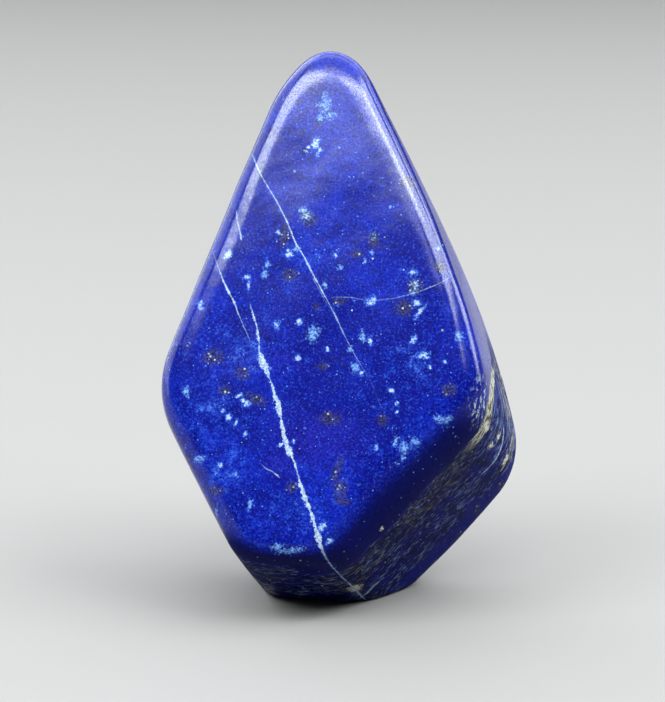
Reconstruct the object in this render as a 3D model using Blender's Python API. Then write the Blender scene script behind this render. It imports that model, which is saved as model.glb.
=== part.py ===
# Lapis lazuli freeform
#
# One solid piece of stone, cut and polished into a leaning kite that stands on a small flat spot.
# Sizes are in millimetres until the last step, which scales the stone to metres.
# The front face looks toward -Y and leans back, +Z is up, and the stone rests on z = 0.

import math

import bmesh
import bpy
import numpy as np

# Overall placing of the cuts
LEAN = 20.0  # how far the front face leans back from upright, degrees
HEART = np.array([-1.078, 4.221, 53.84])  # inner point that every cut is measured from
REST_ROUNDING = 1.2  # softening where the sides meet the flat spot underneath

# Every cut is a slightly crowned plane that takes one side off the stone.
# Its clock is the way it looks round the front face, 0 to the right and 90 toward the tip.
# Its flare is how far it looks forward, 90 for the front itself and -90 for straight back.
# Its reach is how far it lies from the heart, and its crown is the radius it bulges to.
# Its rounding is how widely it blends into the cuts made before it.
FRONT = dict(clock=0.0, flare=90.0, reach=22.6, crown=900.0)

SIDES = (
    dict(name="lower left", clock=211.0, flare=4.4, reach=40.4, crown=2500.0, rounding=0.0),
    dict(name="upper left", clock=161.5, flare=-2.0, reach=34.6, crown=3000.0, rounding=7.5),
    dict(name="tip", clock=106.4, flare=0.0, reach=73.6, crown=600.0, rounding=12.5),
    dict(name="upper right", clock=26.9, flare=0.0, reach=36.3, crown=1500.0, rounding=12.0),
    dict(name="right corner", clock=11.8, flare=4.0, reach=37.3, crown=500.0, rounding=7.8),
    dict(name="lower right", clock=-40.9, flare=12.8, reach=38.3, crown=2000.0, rounding=6.2),
)

REAR = (
    dict(name="upper back", clock=90.0, flare=-72.0, reach=26.0, crown=600.0, rounding=14.0),
    dict(name="lower back", clock=-90.0, flare=-84.0, reach=39.6, crown=500.0, rounding=12.0),
    dict(name="underside", clock=-89.9, flare=14.9, reach=49.7, crown=500.0, rounding=4.0),
)

# Rounding of the edge round the front face
FRONT_ROUNDING = 7.0  # all round, on average
TIP_RIGHT_SHARPER = 2.0  # how much tighter it is along the upper right
LOWER_RIGHT_SOFTER = 3.0  # how much wider it is along the lower right

# Slow swells left by grinding the stone by hand
SWELL = 0.12
SWELL_LENGTH = 26.0

# Net of points over the stone
POINTS_ACROSS = 28
STRETCH = np.array([1.0, 0.85, 2.0])  # the net's proportions before it is laid on the stone
RELAXING_ROUNDS = 100
EDGE_PULL = 15.0  # how much closer the points crowd along the rounded edges


def face_directions():
    lean = math.radians(LEAN)
    across = np.array([1.0, 0.0, 0.0])
    upward = np.array([0.0, math.sin(lean), math.cos(lean)])
    outward = np.array([0.0, -math.cos(lean), math.sin(lean)])
    return across, upward, outward


def looking(clock, flare):
    across, upward, outward = face_directions()
    turn, tilt = math.radians(clock), math.radians(flare)
    round_face = math.cos(turn) * across + math.sin(turn) * upward
    return math.cos(tilt) * round_face + math.sin(tilt) * outward


def beyond(points, cut):
    """How far each point lies outside one crowned cut."""
    heading = looking(cut["clock"], cut["flare"])
    centre = HEART + heading * (cut["reach"] - cut["crown"])
    return np.linalg.norm(points - centre, axis=1) - cut["crown"]


def blend(first, second, rounding):
    """The outer of two distances, softened where they are nearly equal."""
    near = np.maximum(rounding - np.abs(first - second), 0.0)
    return np.maximum(first, second) + near * near / (4.0 * np.maximum(rounding, 1e-6))


def front_rounding(points):
    across, upward, _ = face_directions()
    offset = points - HEART
    turn = np.arctan2(offset @ upward, offset @ across)
    sharper = np.maximum(np.cos(turn - math.radians(50.0)), 0.0) ** 2
    softer = np.maximum(np.cos(turn - math.radians(-45.0)), 0.0) ** 3
    return FRONT_ROUNDING - TIP_RIGHT_SHARPER * sharper + LOWER_RIGHT_SOFTER * softer


def outside(points):
    """Distance of each point outside the stone, below zero inside it."""
    body = beyond(points, SIDES[0])
    for cut in SIDES[1:]:
        body = blend(body, beyond(points, cut), cut["rounding"])
    body = blend(body, beyond(points, FRONT), front_rounding(points))
    for cut in REAR:
        body = blend(body, beyond(points, cut), cut["rounding"])
    wave = 2.0 * math.pi * points / SWELL_LENGTH
    body = body + SWELL * np.sin(wave[:, 0] + 1.0) * np.cos(wave[:, 1] + 0.5) * np.sin(0.7 * wave[:, 2])
    return blend(body, -points[:, 2], REST_ROUNDING)


def slope(points):
    step = 0.02
    rise = []
    for axis in np.eye(3) * step:
        rise.append((outside(points + axis) - outside(points - axis)) / (2.0 * step))
    return np.stack(rise, axis=1)


def settle(points, rounds):
    """Moves points straight onto the surface of the stone."""
    for _ in range(rounds):
        rise = slope(points)
        size = np.maximum((rise * rise).sum(axis=1), 0.2)
        points = points - rise * (outside(points) / size)[:, None]
    return points


def cast(directions):
    """Points where rays from the heart leave the stone."""
    near = np.zeros(len(directions))
    far = np.full(len(directions), 120.0)
    for _ in range(30):
        middle = (near + far) / 2.0
        inside = outside(HEART + directions * middle[:, None]) < 0.0
        near = np.where(inside, middle, near)
        far = np.where(inside, far, middle)
    return HEART + directions * near[:, None]


def relax(points, edges):
    """Evens out the net of points, closer together where the surface turns."""
    first, second = edges[:, 0], edges[:, 1]
    for _ in range(RELAXING_ROUNDS):
        rise = slope(points)
        facing = rise / np.linalg.norm(rise, axis=1)[:, None]
        pull = 1.0 + EDGE_PULL * np.linalg.norm(facing[first] - facing[second], axis=1)
        total = np.zeros(len(points))
        moved = np.zeros_like(points)
        np.add.at(total, first, pull)
        np.add.at(total, second, pull)
        np.add.at(moved, first, points[second] * pull[:, None])
        np.add.at(moved, second, points[first] * pull[:, None])
        points = settle(points * 0.5 + moved / total[:, None] * 0.5, 2)
    return settle(points, 4)


def stone_surface():
    mesh = bmesh.new()
    bmesh.ops.create_cube(mesh, size=2.0)
    bmesh.ops.subdivide_edges(mesh, edges=mesh.edges[:], cuts=POINTS_ACROSS - 1, use_grid_fill=True)
    mesh.verts.ensure_lookup_table()
    directions = np.array([v.co[:] for v in mesh.verts])
    squares = directions ** 2
    others = np.roll(squares, 1, axis=1), np.roll(squares, 2, axis=1)
    directions *= np.sqrt(1.0 - (others[0] + others[1]) / 2.0 + others[0] * others[1] / 3.0)
    directions *= STRETCH
    directions /= np.linalg.norm(directions, axis=1)[:, None]
    edges = np.array([[e.verts[0].index, e.verts[1].index] for e in mesh.edges])
    points = relax(cast(directions), edges)
    points[np.abs(points[:, 2]) < 0.005, 2] = 0.0
    middle = (points[:, :2].max(axis=0) + points[:, :2].min(axis=0)) / 2.0
    points[:, :2] -= middle
    for vert, point in zip(mesh.verts, points):
        vert.co = point * 0.001
    bmesh.ops.triangulate(mesh, faces=mesh.faces[:], quad_method="SHORT_EDGE")
    bmesh.ops.recalc_face_normals(mesh, faces=mesh.faces[:])
    return mesh


def polished_lapis():
    stuff = bpy.data.materials.new("polished_lapis")
    stuff.use_nodes = True
    shader = stuff.node_tree.nodes["Principled BSDF"]
    shader.inputs["Base Color"].default_value = (0.012, 0.035, 0.42, 1.0)
    shader.inputs["Roughness"].default_value = 0.3
    shader.inputs["Metallic"].default_value = 0.0
    return stuff


def main():
    for item in list(bpy.data.objects):
        bpy.data.objects.remove(item)
    mesh = stone_surface()
    data = bpy.data.meshes.new("lapis_stone")
    mesh.to_mesh(data)
    mesh.free()
    data.materials.append(polished_lapis())
    stone = bpy.data.objects.new("lapis_stone", data)
    bpy.context.scene.collection.objects.link(stone)


main()
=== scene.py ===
import math
from types import SimpleNamespace

import bmesh
import bpy
import numpy as np
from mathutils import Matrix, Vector, noise


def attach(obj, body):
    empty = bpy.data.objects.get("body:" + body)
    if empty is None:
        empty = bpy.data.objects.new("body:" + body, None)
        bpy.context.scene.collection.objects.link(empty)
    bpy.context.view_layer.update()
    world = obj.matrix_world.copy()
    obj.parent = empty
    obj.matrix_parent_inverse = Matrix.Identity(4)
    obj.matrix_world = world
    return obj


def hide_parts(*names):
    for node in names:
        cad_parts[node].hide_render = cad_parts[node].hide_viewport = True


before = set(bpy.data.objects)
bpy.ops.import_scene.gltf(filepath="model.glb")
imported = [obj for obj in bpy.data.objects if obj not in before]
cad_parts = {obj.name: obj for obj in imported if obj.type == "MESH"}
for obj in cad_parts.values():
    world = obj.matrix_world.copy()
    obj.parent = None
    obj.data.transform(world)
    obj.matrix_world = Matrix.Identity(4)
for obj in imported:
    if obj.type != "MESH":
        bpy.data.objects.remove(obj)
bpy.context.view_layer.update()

# The stone's cuts, in millimetres and degrees, the same as the solid's
LEAN = 20.0  # how far the front face leans back from upright
HEART = np.array([-1.078, 4.221, 53.84])  # inner point that every cut is measured from
REST_ROUNDING = 1.2  # softening where the sides meet the flat spot underneath
SKIN = 0.07  # how far the polished surface stays inside the solid

FRONT = dict(clock=0.0, flare=90.0, reach=22.6, crown=900.0)
SIDES = (
    dict(name="lower left", clock=211.0, flare=4.4, reach=40.4, crown=2500.0, rounding=0.0),
    dict(name="upper left", clock=161.5, flare=-2.0, reach=34.6, crown=3000.0, rounding=7.5),
    dict(name="tip", clock=106.4, flare=0.0, reach=73.6, crown=600.0, rounding=12.5),
    dict(name="upper right", clock=26.9, flare=0.0, reach=36.3, crown=1500.0, rounding=12.0),
    dict(name="right corner", clock=11.8, flare=4.0, reach=37.3, crown=500.0, rounding=7.8),
    dict(name="lower right", clock=-40.9, flare=12.8, reach=38.3, crown=2000.0, rounding=6.2),
)
REAR = (
    dict(name="upper back", clock=90.0, flare=-72.0, reach=26.0, crown=600.0, rounding=14.0),
    dict(name="lower back", clock=-90.0, flare=-84.0, reach=39.6, crown=500.0, rounding=12.0),
    dict(name="underside", clock=-89.9, flare=14.9, reach=49.7, crown=500.0, rounding=4.0),
)

# Rounding of the edge round the front face: all round, and where it is sharper or softer
FRONT_ROUNDING = 7.0
TIP_RIGHT_SHARPER = 2.0
TIP_RIGHT_CLOCK = 50.0
LOWER_RIGHT_SOFTER = 3.0
LOWER_RIGHT_CLOCK = -45.0

# Slow swells left by grinding the stone by hand
SWELL = 0.12
SWELL_LENGTH = 26.0

# Surface net
METRE = 1000.0  # millimetres in a metre
MILLIMETRE = 0.001  # metres in a millimetre
GRAIN_OF_NET = 0.66  # size of the cells that the net is begun from, mm; its points end up a little closer
SETTLING_ROUNDS = 4
EVENING_ROUNDS = 6
RIPPLE = 0.035  # height of the faint ripples left by hand polishing, mm
RIPPLES = ((0.16, 1.0), (0.41, 0.5))  # how many of them to a millimetre, and their share of the height
RIPPLE_FREE_FOOT = 3.0  # height over which the ripples fade in above the flat spot, mm


def face_directions():
    """Across the front face, up it and out of it."""
    lean = math.radians(LEAN)
    across = np.array([1.0, 0.0, 0.0])
    upward = np.array([0.0, math.sin(lean), math.cos(lean)])
    outward = np.array([0.0, -math.cos(lean), math.sin(lean)])
    return across, upward, outward


def beyond(points, cut):
    """How far each point lies outside one crowned cut."""
    across, upward, outward = face_directions()
    turn, tilt = math.radians(cut["clock"]), math.radians(cut["flare"])
    heading = math.cos(tilt) * (math.cos(turn) * across + math.sin(turn) * upward) + math.sin(tilt) * outward
    centre = HEART + heading * (cut["reach"] - cut["crown"])
    return np.linalg.norm(points - centre, axis=1) - cut["crown"]


def blend(first, second, rounding):
    """The outer of two distances, softened where they are nearly equal."""
    near = np.maximum(rounding - np.abs(first - second), 0.0)
    return np.maximum(first, second) + near * near / (4.0 * np.maximum(rounding, 1e-6))


def front_rounding(points):
    across, upward, _ = face_directions()
    offset = points - HEART
    turn = np.arctan2(offset @ upward, offset @ across)
    sharper = np.maximum(np.cos(turn - math.radians(TIP_RIGHT_CLOCK)), 0.0) ** 2
    softer = np.maximum(np.cos(turn - math.radians(LOWER_RIGHT_CLOCK)), 0.0) ** 3
    return FRONT_ROUNDING - TIP_RIGHT_SHARPER * sharper + LOWER_RIGHT_SOFTER * softer


def outside(points):
    """Distance of each point outside the polished stone, below zero inside it."""
    body = beyond(points, SIDES[0])
    for cut in SIDES[1:]:
        body = blend(body, beyond(points, cut), cut["rounding"])
    body = blend(body, beyond(points, FRONT), front_rounding(points))
    for cut in REAR:
        body = blend(body, beyond(points, cut), cut["rounding"])
    wave = 2.0 * math.pi * points / SWELL_LENGTH
    body = body + SWELL * np.sin(wave[:, 0] + 1.0) * np.cos(wave[:, 1] + 0.5) * np.sin(0.7 * wave[:, 2])
    return blend(body + SKIN, -points[:, 2], REST_ROUNDING)


def slope(points):
    """How the distance outside the stone grows along each axis."""
    step = 0.02
    rise = []
    for axis in np.eye(3) * step:
        rise.append((outside(points + axis) - outside(points - axis)) / (2.0 * step))
    return np.stack(rise, axis=1)


def settle(points, rounds):
    """Moves points straight onto the surface of the stone."""
    for _ in range(rounds):
        rise = slope(points)
        size = np.maximum((rise * rise).sum(axis=1), 0.2)
        points = points - rise * (outside(points) / size)[:, None]
    return points


def even_out(points, edges, rounds):
    """Slides the points toward the middle of their neighbours and back onto the surface."""
    first, second = edges[:, 0], edges[:, 1]
    count = np.zeros(len(points))
    np.add.at(count, first, 1.0)
    np.add.at(count, second, 1.0)
    for _ in range(rounds):
        moved = np.zeros_like(points)
        np.add.at(moved, first, points[second])
        np.add.at(moved, second, points[first])
        points = settle(points * 0.5 + moved / count[:, None] * 0.5, 1)
    return settle(points, 2)


def ripple(points):
    """Height of the polishing ripples at each point, none at the flat spot."""
    lift = np.empty(len(points))
    for i, point in enumerate(points):
        spot = Vector(point)
        lift[i] = sum(share * noise.noise(spot * often) for often, share in RIPPLES)
    lift *= np.clip(points[:, 2] / RIPPLE_FREE_FOOT, 0.0, 1.0) * RIPPLE
    return np.minimum(lift, SKIN * 0.8)


def fine_net(node):
    """An even net of small faces round the stone, from a merged copy of the solid's mesh."""
    mesh = bmesh.new()
    mesh.from_mesh(node.data)
    bmesh.ops.remove_doubles(mesh, verts=mesh.verts[:], dist=1e-6)
    data = bpy.data.meshes.new("polished_stone")
    mesh.to_mesh(data)
    mesh.free()
    stone = bpy.data.objects.new("polished_stone", data)
    bpy.context.scene.collection.objects.link(stone)
    net = stone.modifiers.new("net", "REMESH")
    net.mode = "VOXEL"
    net.voxel_size = GRAIN_OF_NET * MILLIMETRE
    net.adaptivity = 0.0
    fine = bpy.data.meshes.new_from_object(stone.evaluated_get(bpy.context.evaluated_depsgraph_get()))
    stone.modifiers.clear()
    stone.data = fine
    return stone


def polished_surface(node):
    """The stone's visible surface: the fine net, settled on the cuts and rippled."""
    stone = fine_net(node)
    fine = stone.data
    points = np.empty(len(fine.vertices) * 3)
    fine.vertices.foreach_get("co", points)
    points = points.reshape(-1, 3) * METRE
    edges = np.empty(len(fine.edges) * 2, dtype=np.int32)
    fine.edges.foreach_get("vertices", edges)
    points = even_out(settle(points, SETTLING_ROUNDS), edges.reshape(-1, 2), EVENING_ROUNDS)
    rise = slope(points)
    facing = rise / np.linalg.norm(rise, axis=1)[:, None]
    points = points + facing * ripple(points)[:, None]
    points[:, 2] = np.maximum(points[:, 2], 0.0)
    fine.vertices.foreach_set("co", (points * MILLIMETRE).ravel())
    fine.polygons.foreach_set("use_smooth", [True] * len(fine.polygons))
    fine.update()
    return stone


def paint(red, green, blue):
    """A linear colour from the usual 0 to 255 numbers."""
    out = []
    for part in (red, green, blue):
        part /= 255.0
        out.append(part / 12.92 if part <= 0.04045 else ((part + 0.055) / 1.055) ** 2.4)
    return (*out, 1.0)


class Wiring:
    """Adds nodes to one tree and joins them."""

    def __init__(self, tree):
        self.tree = tree

    def node(self, kind, **settings):
        made = self.tree.nodes.new(kind)
        for name, value in settings.items():
            setattr(made, name, value)
        return made

    def feed(self, socket, value):
        if isinstance(value, bpy.types.NodeSocket):
            self.tree.links.new(value, socket)
        else:
            socket.default_value = value

    def math(self, operation, first, second=0.0, third=0.0):
        made = self.node("ShaderNodeMath", operation=operation)
        self.feed(made.inputs[0], first)
        self.feed(made.inputs[1], second)
        if operation == "MULTIPLY_ADD":
            self.feed(made.inputs[2], third)
        return made.outputs[0]

    def vector(self, operation, first, second=(0.0, 0.0, 0.0), scale=None):
        made = self.node("ShaderNodeVectorMath", operation=operation)
        self.feed(made.inputs[0], first)
        if scale is not None:
            self.feed(made.inputs["Scale"], scale)
        elif operation != "LENGTH":
            self.feed(made.inputs[1], second)
        return made.outputs["Value" if operation in ("LENGTH", "DOT_PRODUCT") else "Vector"]

    def join(self, x, y, z):
        made = self.node("ShaderNodeCombineXYZ")
        for socket, value in zip(made.inputs, (x, y, z)):
            self.feed(socket, value)
        return made.outputs[0]

    def split(self, vector):
        made = self.node("ShaderNodeSeparateXYZ")
        self.feed(made.inputs[0], vector)
        return made.outputs

    def noise(self, where, size, detail, rough, colour=False):
        made = self.node("ShaderNodeTexNoise")
        self.feed(made.inputs["Vector"], where)
        made.inputs["Scale"].default_value = 1.0 / size
        made.inputs["Detail"].default_value = detail
        made.inputs["Roughness"].default_value = rough
        return made.outputs["Color" if colour else "Fac"]

    def unrest(self, where, size, detail, rough):
        """A random push that changes from place to place, the same in all directions on average."""
        return self.vector("SUBTRACT", self.noise(where, size, detail, rough, colour=True), (0.5, 0.5, 0.5))

    def shifted(self, where, push, amount):
        return self.vector("ADD", where, self.vector("SCALE", push, scale=amount))

    def ramp(self, value, low, high, start=0.0, end=1.0):
        made = self.node("ShaderNodeMapRange", interpolation_type="SMOOTHSTEP", clamp=True)
        self.feed(made.inputs["Value"], value)
        self.feed(made.inputs["From Min"], low)
        self.feed(made.inputs["From Max"], high)
        self.feed(made.inputs["To Min"], start)
        self.feed(made.inputs["To Max"], end)
        return made.outputs["Result"]

    def mix(self, amount, first, second):
        made = self.node("ShaderNodeMix", data_type="RGBA")
        self.feed(made.inputs[0], amount)
        self.feed(made.inputs[6], first)
        self.feed(made.inputs[7], second)
        return made.outputs[2]

    def most(self, values):
        """The largest of some values; a generator's values are folded in as they are made."""
        values = iter(values)
        out = next(values)
        for value in values:
            out = self.math("MAXIMUM", out, value)
        return out

    def times(self, *values):
        out = values[0]
        for value in values[1:]:
            out = self.math("MULTIPLY", out, value)
        return out

    def use(self, group, **values):
        made = self.node("ShaderNodeGroup", node_tree=group)
        for name, value in values.items():
            self.feed(made.inputs[name.replace("_", " ")], value)
        return made.outputs

    def curve(self, value, pairs):
        """Straight lines through (position, value) pairs, both from 0 to 1."""
        made = self.node("ShaderNodeFloatCurve")
        self.feed(made.inputs["Value"], value)
        line = made.mapping.curves[0]
        while len(line.points) < len(pairs):
            line.points.new(0.5, 0.5)
        for point, pair in zip(line.points, pairs):
            point.location = pair
            point.handle_type = "VECTOR"
        made.mapping.use_clip = False
        made.mapping.update()
        return made.outputs["Value"]


def new_group(name, inputs, outputs):
    """A shader group with named sockets: returns its tree, wiring, input sockets and output node."""
    tree = bpy.data.node_groups.new(name, "ShaderNodeTree")
    kinds = {"value": "NodeSocketFloat", "place": "NodeSocketVector"}
    for label, kind in inputs.items():
        tree.interface.new_socket(label, in_out="INPUT", socket_type=kinds[kind])
    for label, kind in outputs.items():
        tree.interface.new_socket(label, in_out="OUTPUT", socket_type=kinds[kind])
    wiring = Wiring(tree)
    entry = wiring.node("NodeGroupInput")
    leave = wiring.node("NodeGroupOutput")
    return tree, wiring, entry.outputs, leave.inputs


def face_place_group():
    """Place on the stone in millimetres: across the front face, up it, and out of it."""
    tree, w, given, leave = new_group("face place", {"Object place": "place"}, {"Place": "place"})
    millimetres = w.vector("SCALE", given["Object place"], scale=METRE)
    offset = w.vector("SUBTRACT", millimetres, tuple(HEART))
    parts = [w.vector("DOT_PRODUCT", offset, tuple(axis)) for axis in face_directions()]
    w.feed(leave["Place"], w.join(*parts))
    return tree


def fleck_group():
    """Closeness to the middle of a grain: 1 there, two thirds at its edge. Half sizes in millimetres."""
    tree, w, given, leave = new_group(
        "fleck",
        {"Place": "place", "Centre": "place", "Half size": "place", "Turn": "value"},
        {"Closeness": "value"},
    )
    offset = w.vector("SUBTRACT", given["Place"], given["Centre"])
    turned = w.node("ShaderNodeVectorRotate", rotation_type="Z_AXIS")
    w.feed(turned.inputs["Vector"], offset)
    w.feed(turned.inputs["Angle"], given["Turn"])
    shrunk = w.vector("DIVIDE", turned.outputs[0], given["Half size"])
    w.feed(leave["Closeness"], w.math("MULTIPLY_ADD", w.vector("LENGTH", shrunk), -1.0 / 3.0, 1.0))
    return tree


def scatter_group():
    """Small grains strewn through the stone: one in every chosen cell, each with its own shade."""
    tree, w, given, leave = new_group(
        "strewn grains",
        {"Place": "place", "Cell": "value", "Share": "value", "Half size": "value"},
        {"Mask": "value", "Shade": "value"},
    )
    cells = w.node("ShaderNodeTexVoronoi", feature="F1")
    per_cell = w.math("DIVIDE", 1.0, given["Cell"])
    w.feed(cells.inputs["Vector"], w.vector("SCALE", given["Place"], scale=per_cell))
    cells.inputs["Scale"].default_value = 1.0
    apart = w.math("MULTIPLY", cells.outputs["Distance"], given["Cell"])
    draw = w.split(cells.outputs["Color"])
    chosen = w.math("LESS_THAN", draw[0], given["Share"])
    size = w.math("MULTIPLY", given["Half size"], w.ramp(draw[1], 0.0, 1.0, 0.45, 1.35))
    mask = w.ramp(apart, size, w.math("MULTIPLY", size, 0.55))
    w.feed(leave["Mask"], w.math("MULTIPLY", mask, chosen))
    w.feed(leave["Shade"], draw[2])
    return tree


def vein_group():
    """A thin sheet of calcite: distance from its middle against its width, broken up along its length."""
    tree, w, given, leave = new_group(
        "vein",
        {"Place": "place", "Across": "value", "Middle": "value",
         "Half width": "value", "Raggedness": "value"},
        {"Mask": "value", "Halo": "value"},
    )
    fine = w.noise(given["Place"], 0.8, 4.0, 0.7)
    jitter = w.math("MULTIPLY", w.math("SUBTRACT", fine, 0.5), given["Raggedness"])
    broken = w.ramp(w.noise(given["Place"], 1.7, 3.0, 0.65), 0.34, 0.62, 0.4, 1.15)
    half = w.times(given["Half width"], broken, w.ramp(fine, 0.30, 0.70, 0.7, 1.3))
    apart = w.math("ABSOLUTE", w.math("ADD", w.math("SUBTRACT", given["Across"], given["Middle"]), jitter))
    present = w.ramp(given["Half width"], 0.0, 0.22)
    mask = w.ramp(apart, w.math("ADD", half, 0.09), w.math("SUBTRACT", half, 0.09))
    halo = w.ramp(apart, w.math("MULTIPLY_ADD", half, 1.6, 0.5), half)
    w.feed(leave["Mask"], w.math("MULTIPLY", mask, present))
    w.feed(leave["Halo"], w.math("MULTIPLY", halo, present))
    return tree


def streak_group():
    """Layering parallel to the front face: even on the front, drawn out into lines on the sides."""
    tree, w, given, leave = new_group(
        "layer streaks",
        {"Place": "place", "Length": "value", "Thickness": "value"},
        {"Value": "value"},
    )
    size = w.join(given["Length"], given["Length"], given["Thickness"])
    w.feed(leave["Value"], w.noise(w.vector("DIVIDE", given["Place"], size), 1.0, 4.0, 0.62))
    return tree


# Colours of the minerals, and one blue of painted shade, as the usual 0 to 255 numbers
DARK_BLUE = paint(1, 3, 70)
DEEP_BLUE = paint(2, 7, 98)
CLEAR_BLUE = paint(6, 22, 126)
AZURE = paint(30, 64, 156)
PALE_AZURE = paint(98, 138, 190)
VIOLET = paint(30, 15, 104)
# painted shade: the darker blue that the rounded lower right edge and the foot of the front are pulled
# toward, in place of their shade
SHADED_BLUE = paint(1, 3, 56)
CALCITE = paint(152, 164, 172)
GREY_CALCITE = paint(100, 120, 150)
CREAM = paint(190, 188, 168)
OLIVE = paint(84, 82, 48)
OLIVE_DARK = paint(6, 8, 30)
MATRIX_DARK = paint(1, 2, 34)
MATRIX_BLUE = paint(4, 9, 86)
MATRIX_PALE = paint(88, 104, 138)
PYRITE = paint(150, 154, 140)
PYRITE_DARK = paint(4, 6, 24)

# Where the layered matrix begins behind the front blue: place up the face and out of it, in millimetres
LAYER_BEND = (
    (-55.0, 7.0), (-50.0, 10.0), (-46.0, 12.0), (-39.0, 11.5), (-30.0, 12.0), (-15.0, 12.5), (-8.0, 13.5),
    (-4.0, 11.5), (0.5, 5.0), (4.0, 0.0), (15.0, -4.0),
)

# Cream spots on the lower right side and the foot: centre and half sizes
SIDE_FLECKS = (
    ((14.9, -37.5, 14.1), (0.5, 0.5, 0.7)), ((38.5, -14.1, -0.6), (1.0, 1.1, 0.8)),
    ((36.8, -13.1, 9.0), (1.0, 0.7, 1.3)), ((37.1, -16.2, 1.2), (0.8, 0.8, 1.5)),
    ((7.0, -50.4, -1.5), (1.5, 1.2, 2.2)), ((39.0, -18.1, -12.3), (1.0, 1.6, 1.0)),
)

# Veins: places across and up the front face with half the vein's width there, in millimetres
# Lean is how far a vein moves aside for each millimetre of depth, and ragged how uneven its edges are
MAIN_VEIN = dict(lean=0.0, ragged=0.9, points=(
    (-17.4, 12.5, 0.0), (-16.9, 10.6, 0.13), (-16.0, 8.3, 0.26), (-15.7, 7.5, 0.10), (-15.4, 6.7, 0.24),
    (-14.7, 3.9, 0.28), (-14.4, 2.2, 0.12), (-14.3, 0.6, 0.45), (-12.9, -2.4, 0.85), (-11.9, -4.6, 0.32),
    (-10.8, -6.9, 0.22), (-9.9, -9.4, 0.42), (-9.0, -11.6, 0.78), (-8.4, -14.0, 0.42),
    (-8.0, -15.6, 0.24), (-6.9, -19.2, 0.62), (-6.0, -21.3, 0.78), (-4.7, -23.8, 0.26),
    (-3.6, -26.9, 0.13), (-3.0, -28.9, 0.40), (-1.4, -32.5, 0.62), (-0.1, -35.3, 0.42),
    (1.0, -38.4, 0.48), (1.9, -40.9, 0.75), (2.5, -42.9, 0.35), (3.2, -44.8, 0.18), (4.3, -46.8, 0.18),
    (5.3, -48.4, 0.15), (6.5, -50.0, 0.24), (7.7, -52.2, 0.25),
))
FINER_VEINS = (
    dict(name="left", lean=0.05, ragged=0.3, points=(
        (-27.4, 23.9, 0.08), (-26.3, 21.9, 0.10), (-25.2, 19.6, 0.12), (-23.9, 16.8, 0.18),
        (-22.5, 14.3, 0.22), (-20.9, 11.8, 0.16), (-19.9, 9.5, 0.13), (-18.5, 6.6, 0.12),
        (-16.9, 3.7, 0.09), (-15.8, 1.2, 0.0),
    )),
    dict(name="long", lean=-0.06, ragged=0.25, points=(
        (-19.4, 46.6, 0.10), (-18.3, 44.4, 0.15), (-16.8, 41.5, 0.14), (-14.5, 38.1, 0.13),
        (-12.3, 34.9, 0.17), (-9.9, 30.7, 0.17), (-7.6, 25.9, 0.17), (-5.2, 22.5, 0.2),
        (-3.0, 18.6, 0.17), (0.3, 13.4, 0.15), (2.6, 9.6, 0.14), (5.1, 5.0, 0.12), (7.7, 0.7, 0.10),
        (10.0, -2.6, 0.05), (12.1, -5.9, 0.05), (18.0, -18.1, 0.03),
    )),
    dict(name="hairline", shallow=True, lean=0.4, ragged=0.35, points=(
        (0.6, 13.2, 0.0), (1.8, 13.9, 0.08), (5.8, 14.0, 0.09), (10.6, 13.3, 0.09), (15.9, 14.1, 0.08),
        (21.2, 15.7, 0.10), (25.4, 17.5, 0.11), (28.2, 19.0, 0.09),
    )),
    dict(name="short", shallow=True, lean=0.1, ragged=0.25, points=(
        (-22.3, 33.6, 0.04), (-22.1, 32.6, 0.13), (-21.7, 30.7, 0.12), (-20.8, 28.2, 0.14),
        (-20.4, 26.6, 0.22), (-20.2, 26.0, 0.0),
    )),
    dict(name="arc", shallow=True, lean=0.3, ragged=0.5, points=(
        (-12.6, -24.4, 0.0), (-11.9, -25.0, 0.10), (-10.9, -25.9, 0.12), (-9.6, -26.3, 0.10),
        (-8.4, -27.2, 0.20), (-7.7, -27.8, 0.05),
    )),
    dict(name="side", side=True, ragged=0.5, points=(
        (-10.6, -1.6, 0.0), (-11.9, -2.9, 0.24), (-15.1, -5.3, 0.34), (-18.4, -6.5, 0.32),
        (-21.0, -6.3, 0.24), (-23.5, -5.6, 0.0),
    )),
    dict(name="foot", side=True, ragged=0.5, points=(
        (-52.6, -9.0, 0.0), (-52.0, -8.6, 0.2), (-49.9, -6.5, 0.28), (-48.2, -6.5, 0.2),
        (-47.0, -6.4, 0.0),
    )),
    dict(name="double", shallow=True, lean=-0.06, ragged=0.2, points=(
        (-3.4, 18.2, 0.0), (-2.7, 17.4, 0.09), (-1.2, 14.9, 0.09), (0.4, 12.4, 0.08), (1.6, 10.6, 0.0),
    )),
)

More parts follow.
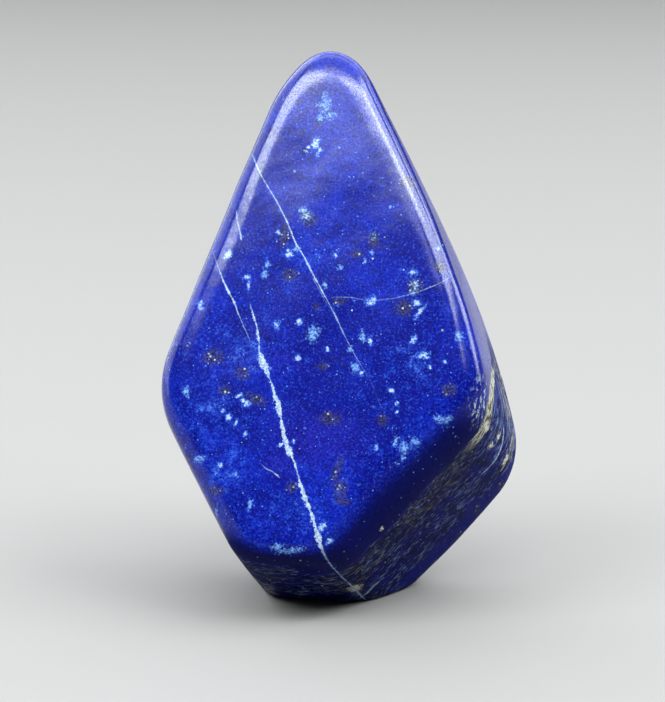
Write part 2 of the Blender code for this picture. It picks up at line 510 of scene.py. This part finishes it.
# Flecks of calcite on the front: across, up, half width, half height, turn in degrees, whiteness
FLECKS = (
    (-3.3, 60.6, 0.6, 0.8, 0, 0.6), (-2.9, 58.2, 0.9, 1.7, 10, 0.6), (-4.3, 58.4, 0.7, 0.6, 0, 0.6),
    (-1.7, 56.3, 1.0, 0.8, 20, 0.6), (-3.8, 55.4, 0.8, 0.7, 0, 0.6), (-4.6, 49.2, 0.85, 1.2, 25, 1.0),
    (-3.9, 47.2, 0.5, 1.1, 25, 0.9), (-6.3, 48.4, 0.4, 0.4, 0, 0.8), (-6.6, 47.2, 0.3, 0.3, 0, 0.7),
    (-6.3, 33.6, 0.9, 0.8, 0, 1.0), (-5.5, 32.3, 1.1, 1.0, 30, 0.9), (-8.9, 23.4, 0.8, 0.8, 0, 0.85),
    (-7.2, 24.6, 0.7, 0.5, 0, 0.55), (-11.8, 28.2, 0.45, 0.5, 0, 0.7), (-23.2, 22.9, 0.65, 0.8, 20, 0.9),
    (-24.0, 21.9, 0.35, 0.35, 0, 0.7), (-18.4, 17.6, 0.8, 0.5, 0, 0.7), (-17.8, 15.7, 0.3, 1.2, 0, 0.8),
    (-14.2, 18.5, 0.6, 0.9, 0, 0.5), (-13.8, 20.8, 0.45, 0.6, 0, 0.45), (-28.9, 10.9, 0.5, 0.9, -20, 0.8),
    (-10.6, 6.9, 0.55, 0.8, 10, 0.75), (-5.6, 7.8, 0.5, 0.6, 0, 0.75), (-2.2, 5.2, 1.0, 1.4, 30, 0.45),
    (-5.3, -0.4, 0.5, 0.6, 0, 0.95), (1.3, 1.7, 0.5, 0.4, 0, 0.75), (11.1, 3.9, 0.4, 0.9, -15, 0.85),
    (9.2, 5.1, 0.5, 1.0, 0, 0.45), (6.7, 1.9, 0.5, 0.5, 0, 0.5), (1.7, 23.3, 0.45, 0.45, 0, 0.9),
    (3.2, 20.7, 0.45, 0.5, 0, 0.6), (10.4, 27.9, 0.5, 0.8, 0, 0.6), (10.1, 24.4, 0.35, 0.4, 0, 0.7),
    (8.6, 22.2, 0.3, 0.5, 0, 0.6), (10.4, 12.9, 1.0, 0.7, 25, 1.0), (11.1, 13.7, 0.6, 0.5, 0, 1.0),
    (19.8, 20.1, 1.0, 0.55, -5, 1.0), (20.4, 17.2, 0.8, 0.9, 0, 0.7), (20.1, 15.6, 0.6, 0.6, 0, 0.65),
    (21.0, 13.1, 0.8, 0.7, 0, 0.95), (22.0, 11.2, 0.35, 1.5, 35, 0.9), (20.7, 4.7, 0.5, 0.9, 25, 1.0),
    (23.0, 1.3, 1.2, 0.55, -15, 1.0), (23.9, 0.8, 0.6, 0.4, 0, 1.0), (28.2, 0.1, 0.45, 0.35, -20, 0.8),
    (24.9, -1.4, 0.3, 0.3, 0, 0.7), (8.0, -2.2, 0.8, 0.9, 20, 0.6), (9.5, -3.3, 0.6, 0.5, 0, 0.7),
    (-18.3, -9.6, 0.7, 0.45, -20, 1.0), (-16.4, -11.3, 0.85, 0.5, -25, 1.0),
    (-17.2, -10.6, 0.5, 0.4, 0, 0.8), (-30.8, -8.9, 0.6, 0.7, 0, 0.6), (-30.3, -10.0, 0.4, 0.4, 0, 0.6),
    (-21.9, -13.1, 0.3, 0.35, 0, 0.8), (-20.4, -14.6, 0.55, 0.65, 0, 0.95),
    (-18.7, -15.9, 0.3, 0.8, 20, 0.75), (-16.3, -18.2, 0.35, 0.5, 0, 0.8),
    (-21.7, -25.5, 0.55, 0.55, 0, 0.75), (-26.6, -24.2, 1.1, 0.6, -10, 0.4),
    (16.4, -6.9, 0.5, 0.5, 0, 0.85), (18.0, -9.7, 0.3, 0.4, 0, 0.75), (18.1, -11.8, 0.3, 0.4, 0, 0.75),
    (18.2, -18.4, 0.4, 0.9, 20, 0.6), (20.0, -19.6, 0.8, 1.0, 0, 0.6), (22.4, -18.2, 0.9, 0.6, 25, 0.6),
    (19.9, -21.9, 0.35, 0.5, 10, 0.6), (13.8, -19.9, 0.35, 0.6, 15, 0.6),
    (28.0, -13.0, 1.2, 0.7, 25, 0.5), (29.6, -12.5, 0.7, 0.5, 0, 0.55), (-4.5, -43.9, 2.4, 0.5, -8, 0.4),
    (-7.6, -43.2, 1.0, 0.5, -5, 0.4), (2.7, -38.2, 0.6, 0.9, 25, 0.8), (4.4, -41.2, 0.9, 0.45, -35, 0.75),
    (-11.6, -2.9, 0.35, 0.3, 0, 0.6), (-13.9, -0.9, 0.7, 0.3, -35, 0.9),
    (-7.7, -20.2, 0.7, 0.3, -25, 0.9), (-5.1, -19.3, 0.4, 0.4, 0, 0.7),
    (-14.3, -34.2, 0.4, 0.9, 10, 0.35), (-18.0, -27.5, 0.5, 0.5, 0, 0.4),
    (-22.6, -36.4, 0.5, 1.3, 12, 0.45), (13.6, 34.9, 0.25, 0.3, 0, 0.6), (-0.1, 16.5, 0.35, 0.8, 0, 0.4),
    (25.0, 26.0, 0.4, 0.5, 0, 0.45), (30.9, 6.2, 0.7, 0.9, 0, 0.5),
)

# Pyrite gathered in small patches on the front: across, up, half width, half height, turn
PYRITE_PATCHES = (
    (-5.0, 31.6, 1.3, 1.2, 0), (-8.4, 18.5, 1.3, 1.0, 0), (-10.4, 27.7, 0.7, 1.6, 0),
    (6.7, 23.8, 0.9, 0.6, 0), (10.3, 27.3, 0.8, 1.2, 0), (18.2, 12.0, 1.2, 1.2, 0),
    (20.4, 16.9, 1.1, 1.2, 0), (5.3, -25.4, 0.6, 2.2, 15), (6.4, -29.4, 1.0, 1.3, 0),
    (6.8, -32.3, 1.3, 0.6, 0), (14.8, -13.7, 0.8, 0.8, 0), (-22.5, -31.1, 1.5, 0.7, 0),
    (-25.0, -1.0, 1.6, 1.2, 0), (-17.8, -4.5, 1.2, 1.0, 0), (2.9, -13.9, 1.6, 1.0, 0),
    (-14.4, -10.2, 1.6, 0.8, 20), (-4.9, -29.8, 0.8, 0.8, 0), (29.5, -6.2, 1.2, 1.0, 0),
    (17.6, 41.0, 1.4, 1.2, 0), (-21.9, -8.4, 0.9, 0.7, 0), (0.6, -2.1, 0.8, 0.6, 0),
    (3.6, 12.8, 0.9, 0.5, 0), (-1.8, 11.4, 0.6, 0.6, 0), (25.5, 21.6, 0.9, 0.8, 0),
)

# Soft clouds of colour: across, up, out, half sizes, and how strong
AZURE_CLOUDS = (
    (-22.0, -27.0, 22.0, 8.0, 9.0, 8.0, 0.6), (-17.0, 1.0, 22.0, 7.0, 8.0, 8.0, 0.6),
    (-24.0, -12.0, 22.0, 9.0, 8.0, 8.0, 0.55), (21.0, -1.0, 22.0, 6.0, 5.0, 8.0, 0.65),
    (21.0, -19.0, 22.0, 6.0, 5.0, 8.0, 0.6), (-6.0, -37.0, 22.0, 9.0, 5.0, 8.0, 0.45),
    (12.0, -8.0, 22.0, 6.0, 8.0, 8.0, 0.3), (-9.0, 20.0, 22.0, 8.0, 6.0, 8.0, 0.3),
)
VIOLET_CLOUDS = (
    (1.0, -18.5, 22.0, 10.0, 6.0, 6.0, 0.5), (-8.0, -24.0, 22.0, 4.0, 4.0, 6.0, 0.4),
    (-12.0, -2.0, 22.0, 7.0, 3.0, 6.0, 0.3),
)

FACE_OUT = 22.0  # how far the front face lies out from the heart, mm
FLECK_DEPTH = 3.0  # half the depth of a mark on the front, mm
WHITE_FROM = 0.65  # flecks whiter than this are white, the others pale blue
BEND_FOOT, BEND_HEIGHT = -55.0, 70.0  # start and length of the stretch up the face that the bend covers, mm
BEND_BACK, BEND_DEPTH = -20.0, 40.0  # start and length of the stretch out of the face that it stays in, mm
LOWER_RIGHT_SIDE = (0.756, -0.655, 0.0)  # the way the lower right side faces, across and up the front


def vein_masks(w, place, group, vein):
    """Mask and halo of one vein, from its places and half widths along the front face.

    A side vein is given up the face and out of it instead, and only shows to the right.
    A shallow vein ends a little way below the front."""
    on_side = vein.get("side", False)
    points = np.array(vein["points"])
    start, end = points[0, :2], points[-1, :2]
    length = float(np.linalg.norm(end - start))
    along = (end - start) / length
    side = np.array([-along[1], along[0]])
    run = ((points[:, :2] - start) @ along / length).tolist()
    off = ((points[:, :2] - start) @ side).tolist()
    half_widths = points[:, 2].tolist()
    reach = max(abs(o) for o in off) + 0.5
    start, along, side = start.tolist(), along.tolist(), side.tolist()
    if on_side:
        origin, forward, sideways = (0.0, *start), (0.0, *along), (0.0, *side)
    else:
        origin, forward, sideways = (*start, FACE_OUT), (*along, 0.0), (*side, vein["lean"])
    offset = w.vector("SUBTRACT", place, origin)
    share = w.math("DIVIDE", w.vector("DOT_PRODUCT", offset, forward), length)
    across = w.vector("DOT_PRODUCT", offset, sideways)
    middle = w.curve(share, [(r, 0.5 + 0.5 * o / reach) for r, o in zip(run, off)])
    middle = w.math("MULTIPLY", w.math("SUBTRACT", middle, 0.5), 2.0 * reach)
    width = w.curve(share, list(zip(run, half_widths)))
    inside = w.times(w.ramp(share, -0.01, 0.005), w.ramp(share, 1.01, 0.995))
    if on_side:
        inside = w.times(inside, w.ramp(w.split(place)[0], 4.0, 6.0))
    if vein.get("shallow", False):
        inside = w.times(inside, w.ramp(w.split(place)[2], 2.0, 8.0))
    width = w.math("MULTIPLY", width, inside)
    ragged = vein["ragged"]
    return w.use(group, Place=place, Across=across, Middle=middle, Half_width=width, Raggedness=ragged)


def find_places(w):
    """Places in the stone, also shifted a little, so that no grain or vein has a drawn edge."""
    where = w.node("ShaderNodeTexCoord").outputs["Object"]
    at = SimpleNamespace(place=w.use(face_place_group(), Object_place=where)["Place"])
    at.fleck, at.scatter, at.vein, at.streak = fleck_group(), scatter_group(), vein_group(), streak_group()
    at.sway = w.unrest(at.place, 1.1, 4.0, 0.7)
    at.ragged = w.shifted(at.place, at.sway, 1.5)
    at.drift = w.unrest(at.place, 9.0, 3.0, 0.6)
    at.wandering = w.shifted(at.place, at.drift, 6.0)
    at.across, at.up, at.depth = w.split(at.place)
    return at


def find_layer(w, at):
    """Depth below the front's clear blue: the layer bends back toward the foot and the right corner."""
    height_share = w.math("MULTIPLY_ADD", at.up, 1.0 / BEND_HEIGHT, -BEND_FOOT / BEND_HEIGHT)
    at.left = w.ramp(at.across, 6.0, -6.0)
    pairs = [((v - BEND_FOOT) / BEND_HEIGHT, (o - BEND_BACK) / BEND_DEPTH) for v, o in LAYER_BEND]
    bend = w.curve(height_share, pairs)
    loose = w.math("MULTIPLY", w.split(at.drift)[0], 5.0)
    bend = w.math("MULTIPLY_ADD", bend, BEND_DEPTH, BEND_BACK)
    bend = w.math("MAXIMUM", bend, w.math("MULTIPLY_ADD", at.left, 46.0, -30.0))
    at.layer = w.math("ADD", w.math("SUBTRACT", at.depth, bend), loose)
    rear_loose = w.math("MULTIPLY_ADD", w.split(at.drift)[1], 22.0, loose)
    at.loose_depth = w.math("ADD", at.depth, rear_loose)


def spot(w, at, where, centre, half_size, turn=0.0):
    """Closeness to the middle of one given mark; its turn is in degrees."""
    made = w.use(at.fleck, Place=where, Centre=centre, Half_size=half_size, Turn=math.radians(turn))
    return made["Closeness"]


def clouds(w, at, places):
    """The strongest of some given soft clouds with ragged edges."""

    def cloud(u, v, o, wide, tall, deep, strength):
        closeness = spot(w, at, at.wandering, (u, v, o), (wide, tall, deep))
        return w.math("MULTIPLY", w.ramp(closeness, 0.45, 0.95), strength)

    return w.most(cloud(*place) for place in places)


def lay_blue(w, at):
    """Blue of the stone: broad clouds, mottling and fine grain."""
    at.broad = w.noise(at.wandering, 15.0, 3.0, 0.55)
    at.mottle = w.noise(at.ragged, 3.0, 6.0, 0.78)
    at.grain = w.noise(at.place, 0.52, 3.0, 0.7)
    blue = w.mix(w.ramp(at.broad, 0.36, 0.66), DEEP_BLUE, CLEAR_BLUE)
    blue = w.mix(w.ramp(at.mottle, 0.52, 0.34, 0.0, 0.7), blue, DARK_BLUE)
    azure = w.math("MULTIPLY_ADD", clouds(w, at, AZURE_CLOUDS), 0.20, at.mottle)
    azure = w.math("MULTIPLY_ADD", w.math("SUBTRACT", at.grain, 0.5), 0.35, azure)
    blue = w.mix(w.ramp(azure, 0.55, 0.79, 0.0, 0.55), blue, AZURE)
    blue = w.mix(w.ramp(azure, 0.68, 0.90, 0.0, 0.5), blue, PALE_AZURE)
    violet = w.times(clouds(w, at, VIOLET_CLOUDS), w.ramp(at.mottle, 0.35, 0.6, 0.5, 1.0))
    blue = w.mix(violet, blue, VIOLET)
    blue = w.mix(w.ramp(at.grain, 0.50, 0.34, 0.0, 0.9), blue, DARK_BLUE)
    return w.mix(w.ramp(at.grain, 0.53, 0.74, 0.0, 0.85), blue, AZURE)


def olive_layers(w, at):
    """How olive the matrix is: mostly in one band below the layer, and less on the left."""
    far_end = w.math("MULTIPLY_ADD", w.ramp(at.up, -24.0, -13.0), 8.0, -13.0)
    full = w.math("ADD", far_end, 4.0)
    band = w.times(w.ramp(at.layer, far_end, full), w.ramp(at.layer, 1.0, -1.0))
    return w.times(
        w.ramp(at.streaks, 0.44, 0.60),
        w.math("MULTIPLY_ADD", band, 0.8, 0.02),
        w.math("MULTIPLY_ADD", at.left, -0.6, 1.0),
    )


def matrix_share(w, at):
    """Where the matrix shows: below the layer on the lower sides, and in soft patches on the back."""
    low_edge = w.math("MULTIPLY_ADD", at.left, -36.0, 8.0)
    loose_up = w.math("MULTIPLY_ADD", w.split(at.drift)[2], 16.0, at.up)
    low = w.ramp(w.math("SUBTRACT", loose_up, low_edge), 5.0, -5.0)
    below = w.times(w.ramp(at.layer, 1.5, -1.5), w.ramp(at.loose_depth, -20.0, -15.0), low)
    back_patches = w.times(w.ramp(at.broad, 0.50, 0.68), w.ramp(at.depth, -8.0, -20.0, 0.0, 0.65))
    return w.math("MAXIMUM", below, back_patches)


def lay_matrix(w, at, colour):
    """Layered matrix behind the front blue, seen on the lower sides and under the stone."""
    at.streaks = w.use(at.streak, Place=at.ragged, Length=4.5, Thickness=1.3)["Value"]
    swayed = w.shifted(at.place, at.sway, 0.7)
    at.dashes = w.use(at.streak, Place=swayed, Length=1.9, Thickness=0.5)["Value"]
    patchy = w.use(at.streak, Place=at.wandering, Length=8.0, Thickness=3.5)["Value"]
    matrix = w.mix(w.ramp(at.streaks, 0.36, 0.62), MATRIX_DARK, MATRIX_BLUE)
    matrix = w.mix(w.ramp(at.dashes, 0.48, 0.36, 0.0, 0.9), matrix, MATRIX_DARK)
    pale = w.math("MULTIPLY_ADD", w.math("SUBTRACT", patchy, 0.5), 0.45, at.dashes)
    matrix = w.mix(w.ramp(pale, 0.53, 0.70, 0.0, 0.85), matrix, MATRIX_PALE)
    at.olive = olive_layers(w, at)
    olive_tone = w.mix(w.ramp(at.dashes, 0.48, 0.62), OLIVE_DARK, OLIVE)
    matrix = w.mix(at.olive, matrix, olive_tone)
    at.behind = matrix_share(w, at)
    return w.mix(w.math("MULTIPLY", at.behind, 0.95), colour, matrix)


def paint_edge_shade(w, at, colour):
    """Painted shade: the rounded edges along the lower right and at the foot of the front are painted plain
    and darker, in place of the shade where they turn away from the light.
    """
    toward_side = w.ramp(w.vector("DOT_PRODUCT", at.place, LOWER_RIGHT_SIDE), 25.0, 29.0)
    lower = w.math("MAXIMUM", toward_side, w.ramp(at.up, -38.0, -43.0))
    lower = w.times(lower, w.ramp(at.up, -5.0, -15.0, 0.25, 1.0))
    shaded_edge_band = w.times(w.ramp(at.depth, 21.8, 19.3), lower)
    at.unlit_edge = w.times(w.ramp(at.depth, 22.3, 20.8), lower)
    # painted shade: where this mask is high the colour is pulled toward the shaded blue, standing in for the
    # shade on the rounded edge
    plain = w.times(shaded_edge_band, w.ramp(at.behind, 0.9, 0.1), w.ramp(at.depth, -16.0, -4.0, 0.45, 0.9))
    return w.mix(plain, colour, SHADED_BLUE)


def lay_cream(w, at, colour):
    """Cream calcite with fine pyrite: along the layer at the right corner, far back and at the heel."""
    corner = w.times(
        w.ramp(at.across, 22.0, 30.0),
        w.ramp(at.layer, -4.8, -3.2),
        w.ramp(at.layer, 1.0, -0.2),
        w.ramp(at.up, -20.0, -13.0),
        w.ramp(at.up, 3.0, 0.0),
    )
    far_upper = spot(w, at, at.ragged, (38.0, -2.0, -8.5), (6.0, 8.0, 6.0))
    far_lower = spot(w, at, at.ragged, (39.0, -15.0, -13.0), (4.0, 6.0, 3.5))
    far = w.math("MAXIMUM", far_upper, far_lower)
    heel = spot(w, at, at.ragged, (-16.0, -50.8, -4.5), (4.5, 2.6, 5.5), -23.0)
    lines = w.use(at.streak, Place=at.place, Length=6.0, Thickness=0.55)["Value"]
    beyond_band = w.ramp(spot(w, at, at.place, (38.0, -6.0, -3.0), (9.0, 12.0, 14.0)), 0.55, 0.80)
    colour = w.mix(w.times(beyond_band, w.ramp(lines, 0.52, 0.66, 0.0, 0.8)), colour, MATRIX_PALE)
    streaky = w.math("MULTIPLY_ADD", lines, 0.5, w.math("MULTIPLY", at.streaks, 0.5))
    at.cream = w.most([
        w.times(corner, w.ramp(streaky, 0.38, 0.50)),
        w.times(w.ramp(far, 0.5, 0.8), w.ramp(lines, 0.50, 0.60), 0.85),
        w.times(w.ramp(heel, 0.5, 0.8), w.ramp(at.dashes, 0.46, 0.60), 0.55),
    ])
    clean = w.ramp(at.dashes, 0.42, 0.56)
    with_pyrite = w.mix(w.ramp(at.grain, 0.45, 0.60), OLIVE_DARK, OLIVE)
    tone = w.mix(clean, with_pyrite, CREAM)
    return w.mix(w.math("MULTIPLY", at.cream, 0.9), colour, tone)


def front_flecks(w, at, white):
    """Closeness to the listed flecks on the front, the white ones or the pale blue ones."""
    return w.most(
        spot(w, at, at.ragged, (u, v, FACE_OUT), (wide, tall, FLECK_DEPTH), turn)
        for u, v, wide, tall, turn, whiteness in FLECKS
        if (whiteness > WHITE_FROM) == white
    )


def strew_calcite(w, at, colour):
    """Strewn pale grains and the flecks that stand out."""
    at.fray = w.math("MULTIPLY", w.math("SUBTRACT", w.noise(at.place, 0.6, 3.0, 0.7), 0.5), 1.4)
    small = w.use(at.scatter, Place=at.ragged, Cell=3.1, Share=0.34, Half_size=0.34)
    dust = w.use(at.scatter, Place=at.place, Cell=0.95, Share=0.26, Half_size=0.16)
    colour = w.mix(w.math("MULTIPLY", small["Mask"], 0.55), colour, w.mix(small["Shade"], AZURE, PALE_AZURE))
    colour = w.mix(w.math("MULTIPLY", dust["Mask"], 0.55), colour, PALE_AZURE)
    whites = front_flecks(w, at, True)
    pales = front_flecks(w, at, False)
    whites = w.math("ADD", whites, at.fray)
    pales = w.math("ADD", pales, at.fray)
    colour = w.mix(w.ramp(whites, 0.30, 0.62, 0.0, 0.35), colour, AZURE)
    pale = w.times(w.ramp(pales, 0.42, 0.90), w.ramp(at.grain, 0.38, 0.60, 0.15, 0.9))
    colour = w.mix(pale, colour, PALE_AZURE)
    white = w.times(w.ramp(whites, 0.54, 0.88), w.ramp(at.grain, 0.32, 0.58, 0.45, 0.9))
    colour = w.mix(white, colour, w.mix(w.ramp(whites, 0.66, 0.95), PALE_AZURE, CALCITE))
    sides = w.math("ADD", w.most(spot(w, at, at.ragged, *side) for side in SIDE_FLECKS), at.fray)
    colour = w.mix(w.ramp(sides, 0.58, 0.85, 0.0, 0.8), colour, CREAM)
    at.away = w.times(w.ramp(at.depth, 10.0, 4.0), w.ramp(at.behind, 0.6, 0.2))
    strewn = w.use(at.scatter, Place=at.ragged, Cell=6.0, Share=0.5, Half_size=0.8)
    strewn_mask = w.times(strewn["Mask"], at.away, w.ramp(at.grain, 0.36, 0.56, 0.2, 0.9))
    colour = w.mix(strewn_mask, colour, w.mix(strewn["Shade"], AZURE, CALCITE))
    speckled = w.ramp(spot(w, at, at.place, (35.5, -8.0, 16.5), (2.4, 5.5, 3.4)), 0.50, 0.85)
    upright = w.noise(w.vector("DIVIDE", at.place, (0.9, 2.0, 1.1)), 1.0, 3.0, 0.7)
    return w.mix(w.times(speckled, w.ramp(upright, 0.50, 0.66, 0.0, 0.9)), colour, CALCITE)


def lay_veins(w, at, colour):
    """Calcite veins with pale halos; behind the front they wander more and more."""
    slow = w.unrest(at.place, 22.0, 1.0, 0.4)
    bent = w.shifted(at.place, slow, w.ramp(at.depth, -9.0, -28.0, 0.0, 26.0))
    main_vein = vein_masks(w, bent, at.vein, MAIN_VEIN)
    at.main_vein = main_vein["Mask"]
    at.calcite = main_vein["Mask"]
    halos = main_vein["Halo"]
    for vein in FINER_VEINS:
        out = vein_masks(w, bent, at.vein, vein)
        at.calcite = w.math("MAXIMUM", out["Mask"], at.calcite)
        halos = w.math("MAXIMUM", out["Halo"], halos)
    colour = w.mix(w.times(halos, w.ramp(at.mottle, 0.40, 0.65, 0.0, 0.45)), colour, AZURE)
    amount = w.math("MULTIPLY", at.calcite, 0.94)
    return w.mix(amount, colour, w.mix(w.ramp(at.grain, 0.40, 0.60), GREY_CALCITE, CALCITE))


def strew_pyrite(w, at, colour):
    """Pyrite: dark and bright grains gathered in patches, and a few alone."""
    patch = w.most(
        spot(w, at, at.ragged, (u, v, FACE_OUT), (wide, tall, FLECK_DEPTH), turn)
        for u, v, wide, tall, turn in PYRITE_PATCHES
    )
    patch = w.ramp(w.math("ADD", patch, at.fray), 0.36, 0.68)
    far_patches = w.times(w.ramp(w.noise(at.wandering, 5.0, 3.0, 0.6), 0.60, 0.68), at.away)
    in_olive = w.math("MULTIPLY", at.olive, 0.45)
    in_cream = w.math("MULTIPLY", at.cream, 0.5)
    patch = w.most([patch, far_patches, in_olive, in_cream])
    colour = w.mix(w.math("MULTIPLY", patch, 0.2), colour, OLIVE)
    dark_spots = w.use(at.scatter, Place=at.ragged, Cell=1.9, Share=0.08, Half_size=0.3)["Mask"]
    at.speckle = w.noise(at.place, 0.42, 1.0, 0.5)
    dark_grains = w.math("MAXIMUM", w.times(patch, w.ramp(at.speckle, 0.54, 0.44)), dark_spots)
    colour = w.mix(w.math("MULTIPLY", dark_grains, 0.75), colour, PYRITE_DARK)
    share = w.math("MULTIPLY_ADD", patch, 0.6, 0.008)
    gold = w.use(at.scatter, Place=at.place, Cell=0.8, Share=share, Half_size=0.25)
    at.gold = gold["Mask"]
    return w.mix(at.gold, colour, w.mix(gold["Shade"], PYRITE_DARK, PYRITE))


def polish(w, at, shader):
    """The coat alone carries the gloss; it is weaker over the matrix and along the unlit edge."""
    w.feed(shader.inputs["Metallic"], w.math("MULTIPLY", at.gold, 0.2))
    dull = w.most([w.math("MULTIPLY", at.behind, 0.4), at.cream, w.math("MULTIPLY", at.calcite, 0.4)])
    uneven = w.ramp(at.speckle, 0.3, 0.7, 0.25, 0.40)
    w.feed(shader.inputs["Roughness"], w.math("MULTIPLY_ADD", dull, 0.15, uneven))
    shader.inputs["IOR"].default_value = 1.5
    shader.inputs["Specular IOR Level"].default_value = 0.0
    shader.inputs["Coat Roughness"].default_value = 0.18
    shine = w.math("SUBTRACT", 1.0, w.math("MULTIPLY", w.most([at.behind, at.unlit_edge]), 0.85))
    w.feed(shader.inputs["Coat Weight"], w.math("MULTIPLY", shine, w.ramp(at.speckle, 0.35, 0.62, 0.6, 1.0)))


def add_relief(w, at, shader):
    """Fine relief: grain under the polish, the main vein worn lower, layers on the sides, small open pits."""
    on_side = w.ramp(at.depth, 14.0, 6.0)
    pit_share = w.math("MULTIPLY_ADD", on_side, 0.2, 0.1)
    pits = w.use(at.scatter, Place=at.place, Cell=1.9, Share=pit_share, Half_size=0.22)
    height = w.math("MULTIPLY", w.noise(at.place, 0.42, 2.0, 0.6), 1.6)
    height = w.math("MULTIPLY_ADD", w.noise(at.place, 3.5, 2.0, 0.5), 0.6, height)
    height = w.math("MULTIPLY_ADD", at.main_vein, -0.35, height)
    height = w.math("MULTIPLY_ADD", pits["Mask"], -1.0, height)
    height = w.math("ADD", height, w.times(on_side, at.dashes, 1.5))
    bump = w.node("ShaderNodeBump")
    bump.inputs["Strength"].default_value = 0.28
    bump.inputs["Distance"].default_value = 0.12 * MILLIMETRE
    w.feed(bump.inputs["Height"], height)
    w.feed(shader.inputs["Normal"], bump.outputs["Normal"])


def polished_lapis():
    stuff = bpy.data.materials.new("polished_lapis")
    stuff.use_nodes = True
    w = Wiring(stuff.node_tree)
    shader = stuff.node_tree.nodes["Principled BSDF"]
    at = find_places(w)
    find_layer(w, at)
    colour = lay_blue(w, at)
    for lay in (lay_matrix, paint_edge_shade, lay_cream, strew_calcite, lay_veins, strew_pyrite):
        colour = lay(w, at, colour)
    w.feed(shader.inputs["Base Color"], colour)
    polish(w, at, shader)
    add_relief(w, at, shader)
    return stuff


# Soft lights: name, azimuth and elevation seen from the stone, width and height in degrees, brightness
LIGHTS = (
    ("front_left_high", -43.0, 46.0, 30.0, 24.0, 18.0),
    ("front_high", 2.0, 53.0, 38.0, 30.0, 4.0),
    ("right_top", 34.0, 58.0, 50.0, 10.0, 17.0),
    ("right_high", 80.0, 46.0, 50.0, 26.0, 12.0),
    ("right_side", 124.0, 21.0, 24.0, 24.0, 8.0),
    ("left_side", -112.0, 22.0, 64.0, 64.0, 2.6),
    ("back_high", 186.0, 45.0, 84.0, 56.0, 2.0),
    ("overhead", 10.0, 86.0, 70.0, 70.0, 1.8),
)
LIGHT_COLOUR = (0.90, 0.98, 1.0)
LIGHT_DISTANCE = 2.0  # from the stone, m
LIT_PLACE = (0.0, 0.0, 0.06)  # point that the lights face, m

# Floor and room
FLOOR_HALF_WIDTH = 6.0  # m
FLOOR_COLOUR = (0.165, 0.153, 0.148, 1.0)
ROOM_COLOUR = (0.80, 0.82, 0.86, 1.0)
ROOM_BRIGHTNESS = 0.10

# Camera: where it stands as seen from the stone, in degrees and metres, and its lens in millimetres
CAMERA_AZIMUTH, CAMERA_ELEVATION, CAMERA_DISTANCE = 10.5, 12.0, 0.68
CAMERA_LOOKS_AT = (-0.00313, 0.01527, 0.05861)
LENS = 147.26
SENSOR_WIDTH = 36.0
PHOTO_HEIGHT = 702.0  # pixels
SHIFT_RIGHT, SHIFT_UP = -5.5, -11.0  # how far the picture's middle is moved, in pixels of the photo


def toward(azimuth, elevation):
    """A direction away from the stone: azimuth 0 is to its front, 90 to its right."""
    a, e = math.radians(azimuth), math.radians(elevation)
    return Vector((math.sin(a) * math.cos(e), -math.cos(a) * math.cos(e), math.sin(e)))


def floor():
    mesh = bmesh.new()
    bmesh.ops.create_grid(mesh, x_segments=1, y_segments=1, size=FLOOR_HALF_WIDTH)
    data = bpy.data.meshes.new("floor")
    mesh.to_mesh(data)
    mesh.free()
    ground = bpy.data.objects.new("floor", data)
    bpy.context.scene.collection.objects.link(ground)
    plain = bpy.data.materials.new("pale_floor")
    plain.use_nodes = True
    shader = plain.node_tree.nodes["Principled BSDF"]
    shader.inputs["Base Color"].default_value = FLOOR_COLOUR
    shader.inputs["Roughness"].default_value = 0.7
    data.materials.append(plain)


def soft_light(name, azimuth, elevation, wide, tall, brightness):
    """A flat soft light; its size is the angle that it fills as seen from the stone."""
    out = toward(azimuth, elevation)
    lamp = bpy.data.lights.new(name, "AREA")
    lamp.shape = "RECTANGLE"
    lamp.size = 2.0 * LIGHT_DISTANCE * math.tan(math.radians(wide / 2.0))
    lamp.size_y = 2.0 * LIGHT_DISTANCE * math.tan(math.radians(tall / 2.0))
    lamp.color = LIGHT_COLOUR
    lamp.energy = brightness * math.pi * lamp.size * lamp.size_y
    holder = bpy.data.objects.new(name, lamp)
    holder.location = Vector(LIT_PLACE) + out * LIGHT_DISTANCE
    holder.rotation_euler = out.to_track_quat("Z", "Y").to_euler()
    bpy.context.scene.collection.objects.link(holder)


def camera():
    lens = bpy.data.cameras.new("camera")
    lens.sensor_width = SENSOR_WIDTH
    lens.lens = LENS
    lens.shift_x = SHIFT_RIGHT / PHOTO_HEIGHT
    lens.shift_y = SHIFT_UP / PHOTO_HEIGHT
    holder = bpy.data.objects.new("camera", lens)
    back = toward(CAMERA_AZIMUTH, CAMERA_ELEVATION)
    holder.location = Vector(CAMERA_LOOKS_AT) + back * CAMERA_DISTANCE
    holder.rotation_euler = back.to_track_quat("Z", "Y").to_euler()
    bpy.context.scene.collection.objects.link(holder)
    bpy.context.scene.camera = holder


def surroundings():
    world = bpy.data.worlds.new("room")
    bpy.context.scene.world = world
    world.use_nodes = True
    shade = world.node_tree.nodes["Background"]
    shade.inputs["Color"].default_value = ROOM_COLOUR
    shade.inputs["Strength"].default_value = ROOM_BRIGHTNESS
    view = bpy.context.scene.view_settings
    view.view_transform = "Standard"
    view.look = "None"


stone = polished_surface(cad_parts["lapis_stone"])
stone.data.materials.clear()
stone.data.materials.append(polished_lapis())
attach(stone, "root")
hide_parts("lapis_stone")
floor()
for light in LIGHTS:
    soft_light(*light)
camera()
surroundings()
